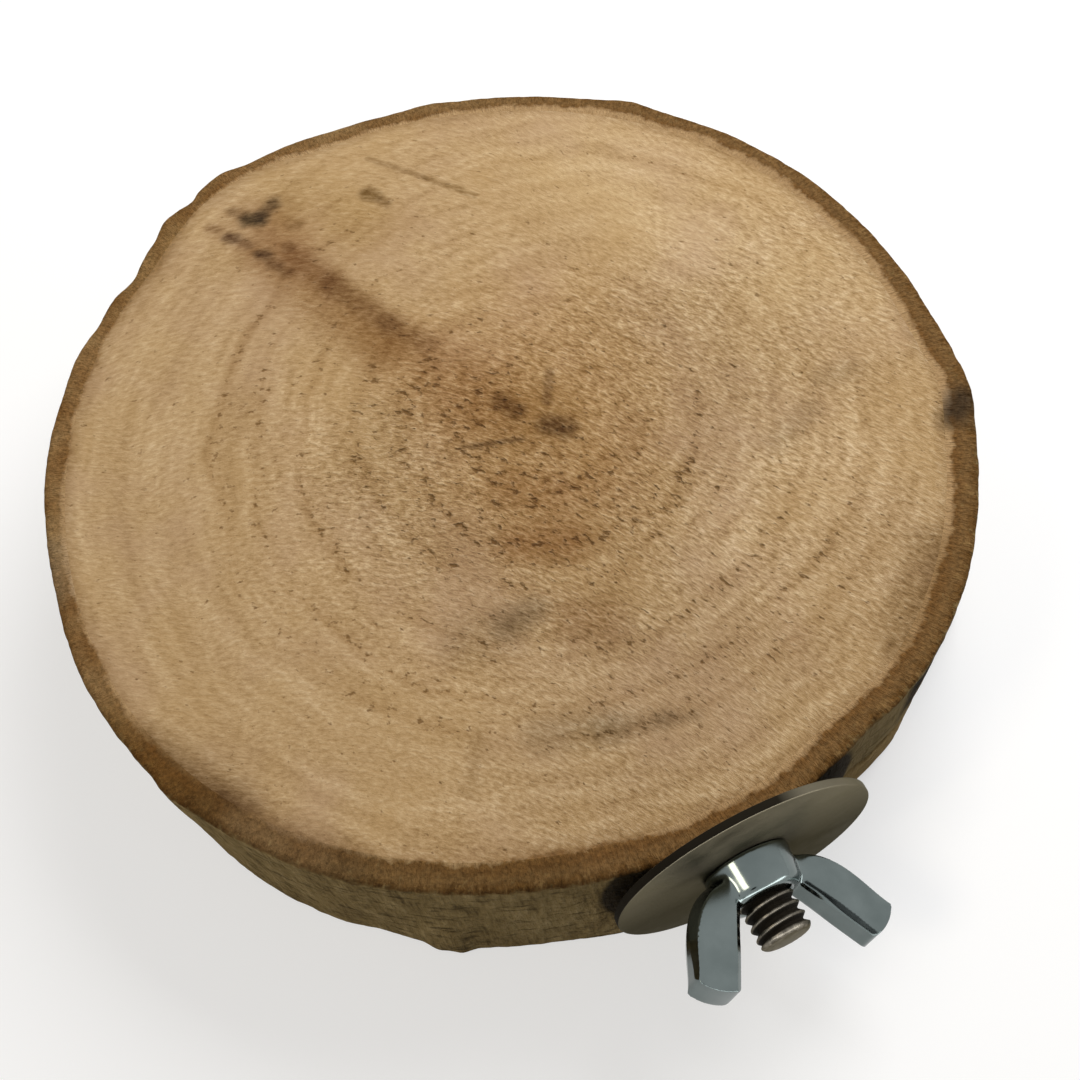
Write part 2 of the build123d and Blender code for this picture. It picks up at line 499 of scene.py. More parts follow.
def saw_relief(place):
    """Depth of the torn grain below the sawn plane, in millimetres, strongest round the heart."""
    along = unit(saw_heading)
    across = unit(saw_heading + 90.0)
    from_heart = (place.xy - Vector(heart_place)).length
    softness = 1.0 - 0.7 * ease(from_heart, 22.0, 42.0)
    # Torn strokes 2.4 mm long and 0.9 mm wide, on waves 9 mm across.
    torn = noise.noise(Vector((place.dot(along) / 2.4, place.dot(across) / 0.9, 0.0)))
    wave = noise.noise(Vector((place.x / 9.0, place.y / 9.0, 4.0)))
    return raised_grain * softness * (0.5 + 0.5 * torn) + raised_wave * (0.5 + 0.5 * wave)


def bark_relief(heading, height):
    """Depth of the bark inside its smooth outline, in millimetres; height runs from 0 at the foot to 1."""
    ring = unit(heading) * log_radius
    up = height * slice_thickness / mm
    # Swells 7 mm wide, ridges 2.2 mm wide and fine cracks 0.8 mm wide, all drawn out upwards.
    swell = noise.noise(Vector((ring.x / 7.0, ring.y / 7.0, up / 16.0)))
    ridges = noise.noise(Vector((ring.x / 2.2, ring.y / 2.2, up / 9.0 + 7.0)))
    fine = noise.noise(Vector((ring.x / 0.8, ring.y / 0.8, up / 2.4 + 19.0)))
    depth = -0.15 + 0.16 * swell + 0.12 * ridges + 0.05 * fine
    for middle, rise, half_width in rim_marks:
        depth -= rise * bell(heading, middle, half_width) * ease(height, 0.1, 0.9)
    for middle, rise, half_width in foot_marks:
        depth -= rise * bell(heading, middle, half_width) * (1.0 - ease(height, 0.05, 0.6))
    depth += lean_at_foot * between(heading, *lean_headings) * (1.0 - height)
    return depth + split_depth * split(heading, height) + broken_step * broken(heading, height)


def split(heading, height):
    """1 along the dark split above the skin that is left standing."""
    line = split_height + 0.05 * noise.noise(Vector((heading / 3.0, 0.0, 3.0)))
    away = (height - line) / split_half_height
    return math.exp(-away * away) * between(heading, *skin_start, skin_end, skin_end + 1.0)


def broken(heading, height):
    """1 where the low skin has come away, past the blunt end of what is left."""
    return between(heading, skin_end, skin_end + 0.8, *broken_end) * (1.0 - ease(height, *broken_top))


def hollow_shade(heading, height):
    """1 in the hollow under the lip, where the bark has lifted; it is painted near-black there, as painted
    shade.
    """
    return between(heading, *hollow_headings) * between(height, *hollow_heights)


def standing_skin(heading, height):
    """1 on the pale skin that is left standing below the split."""
    below = 1.0 - ease(height, split_height - 0.02, split_height + 0.02)
    return between(heading, *skin_start, skin_end, skin_end + 0.5) * below


def bark_sheet_left(heading, height):
    """1 on the smooth inner bark above the split."""
    above = ease(height, split_height, split_height + 0.05)
    return between(heading, *skin_start, skin_end - 2.0, skin_end + 3.0) * above


def bark_rows():
    """Rows of the wrapped sheet: a share of the bark's depth, 1 at the wood, and a height, 1 at the top."""
    band = [step / bark_rows_on_band for step in range(bark_rows_on_band)]
    wall = [step / bark_rows_on_wall for step in range(bark_rows_on_wall)]
    inside = [step / bark_rows_inside for step in range(bark_rows_inside + 1)]
    rows = [(1.0 - share, 1.0) for share in band]
    rows += [(0.0, 1.0 - share) for share in wall]
    rows += [(share, 0.0) for share in band]
    rows += [(1.0, share) for share in inside]
    return rows


def make_bark():
    """The bark: a sheet wrapped round the slice, over its rims and back up against the wood."""
    rows = bark_rows()
    deselect_all()
    bpy.ops.mesh.primitive_grid_add(x_subdivisions=bark_steps_round, y_subdivisions=len(rows) - 1, size=1.0)
    bark = name_piece(bpy.context.object, "bark_sheet")
    for vertex in bark.data.vertices:
        heading = (vertex.co.x + 0.5) * 360.0 % 360.0
        share, height = rows[round((vertex.co.y + 0.5) * (len(rows) - 1))]
        inner = radius_at(wood_wall, heading) / mm
        outer = radius_at(bark_wall, heading) / mm - bark_relief(heading, height)
        from_rim = share * (outer - inner)
        from_top = (1.0 - height) * slice_thickness / mm
        from_foot = height * slice_thickness / mm
        nearest = min(from_top, from_foot)
        rounding = max(0.0, 1.0 - nearest / bark_rim_round) ** 2 * bark_rim_drop
        radius = outer - from_rim - rounding * (1.0 - share)
        drop = max(0.0, 1.0 - from_rim / bark_rim_round) ** 2 * bark_rim_drop if nearest == 0.0 else 0.0
        lift = floor_height / mm + height * slice_thickness / mm
        lift += drop if height < 0.5 else -drop
        vertex.co = Vector((slice_centre.x, slice_centre.y, 0.0)) + unit(heading) * radius * mm
        vertex.co.x = min(max(vertex.co.x, cad_low.x), cad_high.x)
        vertex.co.y = min(max(vertex.co.y, washer_high.y + washer_clearance * mm), cad_high.y)
        vertex.co.z = lift * mm
    bpy.ops.object.mode_set(mode="EDIT")
    close_mesh(merge=bark_merge_distance)
    drill(bark, (stud_radius + bark_hole_fit) * mm, -bark_drill_reach * mm, bark_drill_reach * mm)

    marks = {"depth": [], "rim": [], "skin": [], "split": [], "sheet": []}
    for vertex in bark.data.vertices:
        heading = heading_of(vertex.co)
        height = (vertex.co.z - floor_height) / slice_thickness
        radius = (vertex.co - slice_centre).xy.length / mm
        inner = radius_at(wood_wall, heading) / mm
        outer = radius_at(bark_wall, heading) / mm - bark_relief(heading, height)
        # The split, the broken step and the hollow under the lip are painted near-black: painted shade.
        painted_gap_shade = max(split(heading, height), broken(heading, height), hollow_shade(heading, height))
        marks["depth"].append((outer - radius) / (outer - inner))
        marks["rim"].append(inside_border(vertex.co))
        marks["skin"].append(standing_skin(heading, height))
        marks["split"].append(painted_gap_shade)
        marks["sheet"].append(bark_sheet_left(heading, height))
    for name, values in marks.items():
        store_per_vertex(bark, name, values)
    make_only_active(bark)
    bpy.ops.object.shade_smooth_by_angle(angle=math.radians(60))
    return bark


def wound_thread(name, pitch, depth, crest, low, high, envelope, plain_end):
    """A right-hand thread about Y from low to high, within the envelope's radius, plain at its two ends."""
    deselect_all()
    turns = math.ceil((high - low) / pitch) + 2
    # One pitch of a rolled thread: half a root, a flank, a narrow crest, a flank and half a root.
    points = []
    for step in range(profile_steps + 1):
        share = step / profile_steps
        off_crest = abs(2.0 * share - 1.0) - thread_crest_share
        slope = min(1.0, max(0.0, off_crest / thread_flank_share))
        radius = crest - depth * slope
        points.append((radius * mm, (low - pitch + share * pitch) * mm, 0.0))
    mesh = bpy.data.meshes.new(name)
    mesh.from_pydata(points, [(step, step + 1) for step in range(profile_steps)], [])
    thread = bpy.data.objects.new(name, mesh)
    bpy.context.collection.objects.link(thread)
    make_only_active(thread)
    wind = thread.modifiers.new("wind", "SCREW")
    wind.axis = "Y"
    wind.screw_offset = pitch * mm
    wind.iterations = turns
    wind.steps = thread_steps
    wind.render_steps = thread_steps
    wind.use_merge_vertices = True
    wind.merge_threshold = merge_distance * mm
    apply_modifiers(thread)
    bpy.ops.object.mode_set(mode="EDIT")
    for place, side in ((low, -1.0), (high, 1.0)):
        bpy.ops.mesh.select_all(action="SELECT")
        bpy.ops.mesh.bisect(
            plane_co=(0.0, place * mm, 0.0), plane_no=(0.0, side, 0.0), use_fill=True, clear_outer=True,
            threshold=0.1 * merge_distance * mm)
    close_mesh(merge=merge_distance)
    grooves = []
    for vertex in thread.data.vertices:
        radius = math.hypot(vertex.co.x, vertex.co.z) / mm
        along = vertex.co.y / mm
        limit = min(envelope(along), crest)
        from_end = min(along - low, high - along)
        groove = max(0.0, limit - radius) * ease(from_end, 0.4 * plain_end, plain_end)
        if radius > 0.0:
            vertex.co.x *= (limit - groove) / radius
            vertex.co.z *= (limit - groove) / radius
        grooves.append(groove / depth)
    store_per_vertex(thread, "groove", grooves)
    return thread


def make_hanger_bolt():
    """One steel rod: rolled machine thread outside, plain neck, coarse wood thread with a gimlet point."""
    tip = bolt_low.y / mm
    end = bolt_high.y / mm
    neck_start = tip + machine_thread_length
    neck_end = neck_start + neck_length

    def machine_limit(along):
        short = max(0.0, 1.0 - min(along - tip, neck_start - along) / stud_end_round)
        return stud_radius - stud_end_round * (1.0 - math.sqrt(1.0 - min(1.0, short) ** 2))

    def wood_limit(along):
        share = min(1.0, max(0.0, end - along) / gimlet_length)
        return gimlet_tip_radius + share * (wood_crest_radius - gimlet_tip_radius)

    outside = wound_thread(
        "machine_thread", machine_pitch, machine_thread_depth, stud_radius, tip, neck_start, machine_limit,
        machine_runout)
    inside = wound_thread(
        "wood_thread", wood_pitch, wood_thread_depth, wood_crest_radius, neck_end, end, wood_limit,
        wood_runout)
    deselect_all()
    bpy.ops.mesh.primitive_cylinder_add(
        vertices=thread_steps, radius=neck_radius * mm, depth=(neck_length + 2 * neck_overlap) * mm,
        location=(0.0, (neck_start + neck_end) / 2 * mm, 0.0), rotation=(math.pi / 2, 0.0, 0.0))
    neck = bpy.context.object
    bpy.ops.object.transform_apply(location=True, rotation=True)
    for part in (outside, inside):
        part.select_set(True)
    bpy.context.view_layer.objects.active = neck
    bpy.ops.object.join()
    bolt = name_piece(bpy.context.object, "threaded_hanger_bolt")
    bpy.ops.object.shade_smooth_by_angle(angle=math.radians(35))
    return bolt


def turned_ring(name, inner, outer_front, outer_back, front, back, front_rounds, back_rounds, steps):
    """A ring about Y: a plane's corners are set to its section and rounded, and the section is spun."""
    deselect_all()
    bpy.ops.mesh.primitive_plane_add(size=1.0)
    ring = name_piece(bpy.context.object, name)
    rounds = {}
    for vertex in ring.data.vertices:
        in_front = vertex.co.y < 0.0
        outside = vertex.co.x > 0.0
        outer = outer_front if in_front else outer_back
        radius = outer if outside else inner
        along = front if in_front else back
        inner_round, outer_round = front_rounds if in_front else back_rounds
        rounds[(round(radius, 3), round(along, 3))] = outer_round if outside else inner_round
        vertex.co = Vector((radius * mm, along * mm, 0.0))
    bpy.ops.object.mode_set(mode="EDIT")
    for (radius, along), corner_round in rounds.items():
        round_corner(ring, Vector((radius * mm, along * mm, 0.0)), corner_round, ring_corner_steps)
    bpy.ops.mesh.select_all(action="SELECT")
    bpy.ops.mesh.delete(type="ONLY_FACE")
    bpy.ops.mesh.select_all(action="SELECT")
    bpy.ops.mesh.spin(steps=steps, angle=2 * math.pi, center=(0.0, 0.0, 0.0), axis=(0.0, 1.0, 0.0))
    close_mesh(merge=merge_distance)
    return ring


def make_washer():
    """A stamped ring, rounded in front, where the die drew it in."""
    front = washer_low.y / mm
    back = washer_high.y / mm
    washer = turned_ring(
        "stamped_fender_washer", washer_hole_radius, washer_reach, washer_reach, front, back,
        (washer_front_round, washer_front_round), (washer_back_round, washer_back_round), washer_steps)
    # Painted shade: the cut rim behind its rounded front edge is painted near-black, as the shade of the
    # gap between washer and bark, but not at its right end.
    grooves = []
    for vertex in washer.data.vertices:
        on_rim = math.hypot(vertex.co.x, vertex.co.z) / mm > washer_reach - washer_rim_margin
        rim_in_shade = on_rim and vertex.co.y / mm > front + 0.5 * washer_front_round
        grooves.append(1.0 - ease(vertex.co.x / mm, *washer_rim_shade_fade) if rim_in_shade else 0.0)
    store_per_vertex(washer, "groove", grooves)
    bpy.ops.object.shade_smooth_by_angle(angle=math.radians(25))
    return washer


def outer_bow(share):
    """Bulge of a wing's outer edge in millimetres, fullest two fifths of the way from foot to shoulder."""
    # The curve of the share is 1 / 5.38 high at its fullest.
    return wing_edge_bow * 5.38 * share * (1.0 - share) ** 1.5


def tip_bow(share):
    """Bulge of a wing's tip in millimetres."""
    return wing_tip_bow * 4.0 * share * (1.0 - share)


def no_bow(share):
    """No bulge: the wing's inner edge is straight."""
    return 0.0


def along_edge(place, start, end):
    """A place's share of the way from start to end, how far left of it the place lies, and that side."""
    run = end - start
    left = Vector((-run.y, run.x, 0.0)).normalized()
    share = (place - start).dot(run) / run.length_squared
    return min(1.0, max(0.0, share)), (place - start).dot(left) / mm, left


def bow_edge(mesh, start, end, bow):
    """Bulges the straight edge from start to end to the left of its way."""
    for vertex in mesh.verts:
        share, off, left = along_edge(vertex.co, start, end)
        if 0.0 < share < 1.0 and abs(off) < 1.0:
            vertex.co += left * bow(share) * mm


def rim_inset(place, start, end, bow, widths):
    """How far a rim is drawn in at a place from the bowed edge from start to end, and the way out there."""
    share, off, left = along_edge(place, start, end)
    width = widths[0] + share * (widths[1] - widths[0])
    return max(0.0, off - bow(share) + width), left


def make_wing(turn):
    """One wing: a flat outline, rounded and bowed, thickened and thinned towards its tip, then turned."""
    corners = [Vector((out * mm, (nut_seat - up) * mm, 0.0))
               for out, up in (wing_foot, wing_shoulder, wing_root, wing_crown)]
    deselect_all()
    bpy.ops.mesh.primitive_plane_add(size=1.0)
    wing = bpy.context.object
    for vertex, corner in zip(wing.data.vertices, corners):
        vertex.co = corner
    bpy.ops.object.mode_set(mode="EDIT")
    for corner, corner_round in ((corners[1], wing_shoulder_round), (corners[3], wing_crown_round)):
        round_corner(wing, corner, corner_round, wing_corner_steps)
    bpy.ops.mesh.select_all(action="SELECT")
    bpy.ops.mesh.delete(type="ONLY_FACE")
    mesh = bmesh.from_edit_mesh(wing.data)
    # The long edges are cut finely; the short ones round the corners are fine already.
    for edge in mesh.edges:
        edge.select = edge.calc_length() > 1.0 * mm
    bpy.ops.mesh.subdivide(number_cuts=wing_edge_cuts)
    mesh = bmesh.from_edit_mesh(wing.data)
    bow_edge(mesh, corners[0], corners[1], outer_bow)
    bow_edge(mesh, corners[1], corners[3], tip_bow)
    bpy.ops.mesh.select_all(action="SELECT")
    bpy.ops.mesh.edge_face_add()
    for _ in range(3):
        bpy.ops.mesh.extrude_region_move(TRANSFORM_OT_translate={"value": (0.0, 0.0, 1.0 * mm)})
    mesh = bmesh.from_edit_mesh(wing.data)
    # Four levels across the thickness: at the outer two the die draws the rims of the long edges in, and
    # the inner two keep the full outline and lie a little inside the wing's faces.
    for vertex in mesh.verts:
        level = round(vertex.co.z / mm)
        vertex.co.z = 0.0
        outer, outer_way = rim_inset(vertex.co, corners[0], corners[1], outer_bow, wing_outer_slope)
        inner, inner_way = rim_inset(vertex.co, corners[3], corners[2], no_bow, wing_inner_slope)
        if level in (0, 3):
            vertex.co -= (outer_way * outer + inner_way * inner) * mm
        share = (vertex.co.x / mm - wing_root[0]) / (wing_shoulder[0] - wing_root[0])
        half = (wing_root_thickness + share * (wing_tip_thickness - wing_root_thickness)) / 2
        if level in (1, 2):
            half -= min(0.9 * half, max(wing_outer_draft * outer, inner, 0.02))
        vertex.co.z = half * mm if level > 1 else -half * mm
    close_mesh()
    wing.rotation_euler = (0.0, math.radians(turn), 0.0)
    bpy.ops.object.transform_apply(rotation=True)
    return wing


def make_wing_nut():
    """The forging: a boss and two wings made one by a fine remesh, with eased edges and soft fillets."""
    boss = turned_ring(
        "forged_wing_nut", boss_bore_radius, boss_top_radius, boss_radius, nut_seat - boss_height,
        nut_seat, (bore_rim_round, boss_rim_round), (bore_seat_round, boss_seat_round), boss_steps)
    wings = [make_wing(nut_rest_turn), make_wing(nut_rest_turn + 180.0)]
    make_only_active(boss)
    for wing in wings:
        wing.select_set(True)
    bpy.ops.object.join()
    nut = bpy.context.object
    fine = nut.modifiers.new("fine", "REMESH")
    fine.mode = "VOXEL"
    fine.voxel_size = nut_grain * mm
    apply_modifiers(nut)
    soften(nut, "easing", nut_easing)

    # The fillets run where the wings leave the boss.
    fillets = nut.vertex_groups.new(name="fillets")
    turn = math.radians(nut_rest_turn)
    along_wing = Vector((math.cos(turn), 0.0, -math.sin(turn)))
    for vertex in nut.data.vertices:
        reach = math.hypot(vertex.co.x, vertex.co.z) / mm
        near_wing = ease(abs(vertex.co.dot(along_wing)) / mm, *fillet_off_axis)
        off_seat = ease(nut_seat - vertex.co.y / mm, *fillet_off_seat)
        weight = math.exp(-((reach - fillet_reach) / fillet_width) ** 2) * near_wing * off_seat
        if weight > 0.02:
            fillets.add([vertex.index], weight, "REPLACE")
    soften(nut, "flow", fillet_easing, fillets.name)
    bpy.ops.object.shade_smooth()
    return nut


def colour(code):
    """An sRGB hex colour as linear red, green, blue and alpha."""
    parts = [int(code[i:i + 2], 16) / 255.0 for i in (1, 3, 5)]
    return [c / 12.92 if c <= 0.04045 else ((c + 0.055) / 1.055) ** 2.4 for c in parts] + [1.0]


def tint(shade, ground):
    """The colour that turns the ground's colour into the shade when the two are multiplied."""
    return [part / whole for part, whole in zip(colour(shade), colour(ground))]


def add(tree, kind, links=None, stops=None, out=0, **settings):
    """Adds one node with its settings, its sockets by name or number and a ramp's stops.

    Gives back one output. A Mix node's share is socket 0; two numbers go to sockets 2 and 3 and come out at
    0, and two colours go to 6 and 7 and come out at 2.
    """
    node = tree.nodes.new("ShaderNode" + kind)
    for name, value in settings.items():
        setattr(node, name, value)
    for socket, value in (links or {}).items():
        if isinstance(value, bpy.types.NodeSocket):
            tree.links.new(value, node.inputs[socket])
        else:
            node.inputs[socket].default_value = value
    for index, (place, shade) in enumerate(stops or []):
        elements = node.color_ramp.elements
        element = elements[index] if index < 2 else elements.new(place)
        element.position = place
        element.color = colour(shade) if isinstance(shade, str) else (shade, shade, shade, 1.0)
    return node.outputs[out]


def new_material(name, **values):
    """A material with one shader, whose plain values are set on its own sockets."""
    material = bpy.data.materials.new(name)
    material.use_nodes = True
    shader = material.node_tree.nodes["Principled BSDF"]
    for socket, value in values.items():
        shader.inputs[socket.replace("_", " ")].default_value = value
    return material, material.node_tree, shader


def millimetres(tree):
    """Object coordinates in millimetres."""
    place = add(tree, "TexCoord", out="Object")
    return add(tree, "VectorMath", {0: place, "Scale": 1.0 / mm}, operation="SCALE")


def way_out(tree, flat):
    """The level direction away from the slice's middle."""
    middle = (slice_centre.x / mm, slice_centre.y / mm, 0.0)
    outward = add(tree, "VectorMath", {0: flat, 1: middle}, operation="SUBTRACT")
    return add(tree, "VectorMath", {0: outward}, operation="NORMALIZE")


def ragged_border(tree, in_mm):
    """How far the bark's colour lies past its border here, in millimetres: torn teeth on slower waves."""
    rim = add(tree, "Attribute", attribute_name="rim", out="Fac")
    teeth = add(tree, "TexNoise", {"Vector": in_mm, "Scale": 1 / 0.8, "Detail": 3.0})
    waves = add(tree, "TexNoise", {"Vector": in_mm, "Scale": 1 / 7.0, "Detail": 2.0})
    reach = add(tree, "Math", {0: waves, 1: 2.2, 2: -1.5}, operation="MULTIPLY_ADD")
    reach = add(tree, "Math", {0: teeth, 1: 1.6, 2: reach}, operation="MULTIPLY_ADD")
    return add(tree, "Math", {0: reach, 1: rim}, operation="SUBTRACT")


def band_colour(tree, in_mm, outward, across):
    """Sawn bark: dark at the lip and browner inwards, cleaner and paler on the far left."""
    band = add(tree, "ValToRGB", {0: across}, stops=[
        (0.12, "#33200d"), (0.24, "#5f4322"), (0.42, "#735735"), (0.62, "#6b4c2a"), (0.85, "#7e5d35")])
    patches = add(tree, "TexNoise", {"Vector": in_mm, "Scale": 1 / 6.0, "Detail": 3.0})
    clean = add(tree, "VectorMath", {
        0: outward, 1: unit(clean_heading)}, operation="DOT_PRODUCT", out="Value")
    paler = add(tree, "Math", {0: patches, 1: 0.8, 2: clean}, operation="MULTIPLY_ADD")
    paler = add(tree, "MapRange", {"Value": paler, "From Min": 0.35, "From Max": 1.4, "To Max": 0.75})
    pale = add(tree, "ValToRGB", {0: patches}, stops=[(0.35, "#7c5932"), (0.65, "#957850")])
    band = add(tree, "Mix", {0: paler, 6: band, 7: pale}, data_type="RGBA", out=2)
    grit = add(tree, "TexNoise", {"Vector": in_mm, "Scale": 1 / 0.5, "Detail": 3.0, "Roughness": 0.65})
    grit = add(tree, "MapRange", {
        "Value": grit, "From Min": 0.3, "From Max": 0.7, "To Min": 0.68, "To Max": 1.36})
    return add(tree, "VectorMath", {0: band, "Scale": grit}, operation="SCALE")


def paint_stains(tree, strokes, ground, place, hold, base):
    """Tints what lies below each stain by its distance from the stroke's middle line and by its hold."""
    for start, end, half_width, shade, strength in strokes:
        start = Vector((*start, 0.0))
        run = Vector((*end, 0.0)) - start
        from_start = add(tree, "VectorMath", {0: place, 1: start}, operation="SUBTRACT")
        share = add(tree, "VectorMath", {
            0: from_start, 1: run / run.length_squared}, operation="DOT_PRODUCT", out="Value")
        share = add(tree, "Clamp", {"Value": share})
        nearest = add(tree, "VectorMath", {0: run, "Scale": share}, operation="SCALE")
        away = add(tree, "VectorMath", {0: from_start, 1: nearest}, operation="DISTANCE", out="Value")
        mask = add(tree, "MapRange", {
            "Value": away, "From Min": half_width * 1.5, "From Max": half_width * 0.1,
            "To Max": strength}, interpolation_type="SMOOTHSTEP")
        mask = add(tree, "Math", {0: mask, 1: hold}, operation="MULTIPLY", use_clamp=True)
        base = add(tree, "Mix", {
            0: mask, 6: base, 7: tint(shade, ground)}, data_type="RGBA", blend_type="MULTIPLY", out=2)
    return base


def make_end_grain_material():
    # Air-dried pale hardwood, sawn across and left bare: dry and matt, with soft growth rings, open
    # pores that the saw tore into short dark strokes, and a red-brown heart.
    material, tree, shader = new_material(
        "sawn_hardwood_end_grain", Roughness=0.85, Specular_IOR_Level=0.25)
    in_mm = millimetres(tree)
    flat = add(tree, "VectorMath", {0: in_mm, 1: (1.0, 1.0, 0.0)}, operation="MULTIPLY")
    height = add(tree, "SeparateXYZ", {0: in_mm}, out="Z")
    upward = add(tree, "Math", {0: height, 1: 0.0}, operation="GREATER_THAN")

    # The saw's strokes swing from one heading at the right to another at the left.
    rightward = add(tree, "SeparateXYZ", {0: in_mm}, out="X")
    swing = add(tree, "MapRange", {
        "Value": rightward, "From Min": -45.0, "From Max": 15.0,
        "To Min": math.radians(-saw_heading_left), "To Max": math.radians(-saw_heading)})
    sawn = add(tree, "VectorRotate", {
        "Vector": in_mm, "Center": (*heart_place, 0.0), "Angle": swing}, rotation_type="Z_AXIS")

    # The rings wander by up to 2 mm over some 12 mm, and the saw smears the edges of stains by 0.5 mm.
    wander = add(tree, "TexNoise", {"Vector": in_mm, "Scale": 1 / 12.0, "Detail": 2.0}, out="Color")
    wander = add(tree, "VectorMath", {0: wander, 1: (0.5, 0.5, 0.5)}, operation="SUBTRACT")
    soft_place = add(tree, "VectorMath", {
        0: wander, 1: (4.0, 4.0, 0.0), 2: flat}, operation="MULTIPLY_ADD")
    smear_place = add(tree, "Mapping", {"Vector": sawn, "Scale": (2.0, 0.8, 1.0)}, vector_type="TEXTURE")
    smear = add(tree, "TexNoise", {
        "Vector": smear_place, "Scale": 1.0, "Detail": 3.0}, noise_dimensions="2D", out="Color")
    smear = add(tree, "VectorMath", {0: smear, 1: (0.5, 0.5, 0.5)}, operation="SUBTRACT")
    torn_place = add(tree, "VectorMath", {
        0: smear, 1: (1.1, 1.1, 0.0), 2: flat}, operation="MULTIPLY_ADD")

    # Distance from the heart, in millimetres, is the ring coordinate.
    outward = add(tree, "VectorMath", {0: soft_place, 1: (*heart_place, 0.0)}, operation="SUBTRACT")
    from_heart = add(tree, "VectorMath", {0: outward}, operation="LENGTH", out="Value")
    ring_share = add(tree, "Math", {0: from_heart, 1: ring_reach}, operation="DIVIDE")

    # Broken growth rings: arcs about 2 mm wide that fade in and out over some 20 degrees.
    heading = add(tree, "VectorMath", {0: outward}, operation="NORMALIZE")
    arc_place = add(tree, "VectorMath", {0: heading, "Scale": 3.0}, operation="SCALE")
    ring_count = add(tree, "Math", {0: from_heart, 1: 2.0}, operation="DIVIDE")
    ring_count = add(tree, "CombineXYZ", {"Z": ring_count})
    arc_place = add(tree, "VectorMath", {0: arc_place, 1: ring_count}, operation="ADD")
    rings = add(tree, "TexNoise", {"Vector": arc_place, "Scale": 1.0, "Detail": 2.0})

    # Fibres smeared along the saw's way: strokes 1.3 mm long and 0.45 mm wide.
    fibre_place = add(tree, "Mapping", {"Vector": sawn, "Scale": (1.3, 0.45, 1.0)}, vector_type="TEXTURE")
    fibres = add(tree, "TexNoise", {
        "Vector": fibre_place, "Scale": 1.0, "Detail": 4.0, "Roughness": 0.7}, noise_dimensions="2D")
    calm = add(tree, "MapRange", {"Value": ring_share, "From Min": 0.32, "From Max": 0.65})
    # The saw left the near right rough, and the wood beyond the heart smooth.
    nearness = add(tree, "VectorMath", {
        0: in_mm, 1: unit(rough_heading)}, operation="DOT_PRODUCT", out="Value")
    rougher = add(tree, "MapRange", {
        "Value": nearness, "From Min": -45.0, "From Max": -12.0, "To Min": 0.85, "To Max": 1.45})
    beyond_heart = add(tree, "SeparateXYZ", {0: in_mm}, out="Y")
    smoother = add(tree, "MapRange", {
        "Value": beyond_heart, "From Min": 66.0, "From Max": 84.0, "To Min": 1.9, "To Max": 1.0})
    fuzz = add(tree, "MapRange", {"Value": calm, "To Min": smoother, "To Max": rougher})
    fuzzy = add(tree, "Math", {0: fibres, 1: 0.5}, operation="SUBTRACT")
    fuzzy = add(tree, "Math", {0: fuzzy, 1: fuzz, 2: 0.5}, operation="MULTIPLY_ADD")
    tone = add(tree, "Mix", {0: 0.65, 2: rings, 3: fuzzy})
    base = add(tree, "ValToRGB", {0: tone}, stops=[
        (0.25, "#896a42"), (0.46, "#ae9067"), (0.56, "#ba9d75"), (0.75, "#d3ba95")])

    # Blotches 15 mm across, pinker and yellower than the ground.
    blotches = add(tree, "TexNoise", {"Vector": in_mm, "Scale": 1 / 15.0, "Detail": 3.0})
    pinker = add(tree, "MapRange", {"Value": blotches, "From Min": 0.5, "From Max": 0.7, "To Max": 0.45})
    base = add(tree, "Mix", {0: pinker, 6: base, 7: colour("#b09274")}, data_type="RGBA", out=2)
    yellower = add(tree, "MapRange", {
        "Value": blotches, "From Min": 0.5, "From Max": 0.3, "To Max": 0.45})
    base = add(tree, "Mix", {0: yellower, 6: base, 7: colour("#b09061")}, data_type="RGBA", out=2)

    # Rings where the pores crowd together, broken along their length.
    crowding = add(tree, "ValToRGB", {0: ring_share}, stops=[
        (0.0, 0.45), (0.10, 0.45), (0.17, 0.8), (0.22, 0.45), (0.262, 0.5), (0.283, 1.0), (0.305, 0.45),
        (0.34, 0.3), (0.364, 0.75), (0.39, 0.25), (0.46, 0.2), (0.485, 0.75), (0.51, 0.2), (0.56, 0.2),
        (0.583, 0.75), (0.606, 0.2), (0.63, 0.2), (0.652, 0.75), (0.675, 0.1), (1.0, 0.05)])
    gathered = add(tree, "MapRange", {
        "Value": rings, "From Min": 0.7, "From Max": 0.3, "To Min": 0.35, "To Max": 1.25})
    crowding = add(tree, "Math", {0: crowding, 1: gathered}, operation="MULTIPLY")
    # The saw tore the rings at the left and below the heart far more than the rest.
    nearness = add(tree, "VectorMath", {
        0: heading, 1: unit(torn_heading)}, operation="DOT_PRODUCT", out="Value")
    nearness = add(tree, "MapRange", {
        "Value": nearness, "From Min": -0.9, "From Max": 0.4, "To Min": 0.35, "To Max": 1.1})
    crowding = add(tree, "Math", {0: crowding, 1: nearness}, operation="MULTIPLY")
    ring_depth = add(tree, "Math", {0: crowding, 1: 0.35}, operation="MULTIPLY")
    ring_tint = tint("#8a6330", ground_shade)
    base = add(tree, "Mix", {
        0: ring_depth, 6: base, 7: ring_tint}, data_type="RGBA", blend_type="MULTIPLY", out=2)

